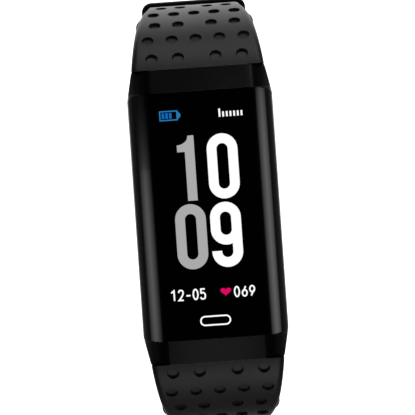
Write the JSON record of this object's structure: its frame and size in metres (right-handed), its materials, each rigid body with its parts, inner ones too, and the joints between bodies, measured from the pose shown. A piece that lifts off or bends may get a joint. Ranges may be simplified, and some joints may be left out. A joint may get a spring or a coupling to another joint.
{
  "type": "fitness tracker band",
  "caption": "Slim wrist tracker with a black glass face, sloping chins and a dimpled silicone strap that closes with a pin buckle and keepers.",
  "frame": {"origin": "centre of the round lower half of the wrist loop, on the axis of the wrist", "axes": "+Z out of the display, +Y towards 12 o'clock on the display, +X to the display's right, along the wrist"},
  "size_m": [0.0192, 0.0593, 0.0711],
  "materials": {
    "black_glass": "polished black front glass",
    "housing_black": "fine satin black",
    "rear_black": "fine matte black",
    "seal_rubber": "dark grey rubber",
    "screw_steel": "machined steel",
    "plug_black": "moulded black",
    "contact_gold": "gold plated",
    "display": "dark display film",
    "tray_white": "white moulded frame",
    "flex_amber": "amber film",
    "board_green": "green solder mask",
    "chip_black": "moulded epoxy",
    "antenna_ceramic": "fired ceramic",
    "battery_foil": "crimped foil",
    "motor_steel": "drawn steel can",
    "motor_weight": "sintered tungsten alloy",
    "sensor_glass": "smoked clear window",
    "led_green": "green emitter",
    "strap_silicone": "matte silicone",
    "liner_plastic": "hard moulded liner",
    "buckle_black": "black coated steel"
  },
  "bodies": {
    "case": {"lens_cover": "black_glass", "upper_housing": "housing_black", "rear_cover": "rear_black", "seal_ring": "seal_rubber", "rear_screws": "screw_steel", "usb_plug_blade": "plug_black", "usb_contacts": "contact_gold", "display_panel": "display", "backlight_tray": "tray_white", "touch_key_film": "flex_amber", "display_flex": "flex_amber", "main_board": "board_green", "processor_chip": "chip_black", "memory_chip": "chip_black", "accelerometer_chip": "chip_black", "antenna": "antenna_ceramic", "battery_cell": "battery_foil", "motor_can": "motor_steel", "sensor_window": "sensor_glass", "sensor_board": "board_green", "green_leds": "led_green", "photodiode": "chip_black", "light_barrier": "rear_black"},
    "motor_rotor": {"motor_shaft": "motor_steel", "motor_weight": "motor_weight"},
    "upper_root": {"strap_root_upper": "strap_silicone", "socket_liner_upper": "liner_plastic"},
    "upper_arm": {"strap_arm_upper": "strap_silicone"},
    "keeper": {"free_keeper": "strap_silicone"},
    "upper_end": {"strap_end_upper": "strap_silicone", "spring_bar": "screw_steel", "fixed_keeper": "strap_silicone"},
    "buckle": {"buckle_frame": "buckle_black"},
    "tang": {"buckle_tang": "buckle_black"},
    "lower_root": {"strap_root_lower": "strap_silicone", "socket_liner_lower": "liner_plastic"},
    "lower_arm": {"strap_arm_lower": "strap_silicone"},
    "lower_middle": {"strap_middle_lower": "strap_silicone"},
    "lower_tail": {"strap_tail_lower": "strap_silicone"}
  },
  "joints": [
    {"name": "upper_strap_pull", "type": "slide", "parent": "case", "child": "upper_root", "axis": [0, 1, 0], "range_m": [0, 0.009]},
    {"name": "upper_shoulder_flex", "type": "hinge", "parent": "upper_root", "child": "upper_arm", "pos_m": [0, 0.02759, 0.02687], "axis": [1, 0, 0], "range_deg": [0, 40], "stiffness_Nm_per_rad": 0.06},
    {"name": "upper_middle_flex", "type": "hinge", "parent": "upper_arm", "child": "upper_end", "pos_m": [0, 0.02785, 0], "axis": [1, 0, 0], "range_deg": [-4, 35], "stiffness_Nm_per_rad": 0.06},
    {"name": "keeper_slide", "type": "slide", "parent": "upper_arm", "child": "keeper", "axis": [0, 0, -1], "range_m": [0, 0.014]},
    {"name": "buckle_swing", "type": "hinge", "parent": "upper_end", "child": "buckle", "pos_m": [0, 0.02057, -0.01877], "axis": [1, 0, 0], "range_deg": [-20, 60]},
    {"name": "tang_swing", "type": "hinge", "parent": "buckle", "child": "tang", "pos_m": [0, 0.02057, -0.01877], "axis": [1, 0, 0], "range_deg": [0, 60]},
    {"name": "lower_strap_pull", "type": "slide", "parent": "case", "child": "lower_root", "axis": [0, -1, 0], "range_m": [0, 0.009]},
    {"name": "lower_shoulder_flex", "type": "hinge", "parent": "lower_root", "child": "lower_arm", "pos_m": [0, -0.02759, 0.02687], "axis": [-1, 0, 0], "range_deg": [0, 40], "stiffness_Nm_per_rad": 0.06},
    {"name": "lower_middle_flex", "type": "hinge", "parent": "lower_arm", "child": "lower_middle", "pos_m": [0, -0.02785, 0], "axis": [-1, 0, 0], "range_deg": [-4, 35], "stiffness_Nm_per_rad": 0.06},
    {"name": "tail_flex", "type": "hinge", "parent": "lower_middle", "child": "lower_tail", "pos_m": [0, -0.01851, -0.02081], "axis": [-1, 0, 0], "range_deg": [-4, 35], "stiffness_Nm_per_rad": 0.06},
    {"name": "motor_spin", "type": "hinge", "parent": "case", "child": "motor_rotor", "pos_m": [0, 0.0132, 0.03475], "axis": [1, 0, 0], "continuous": true}
  ]
}
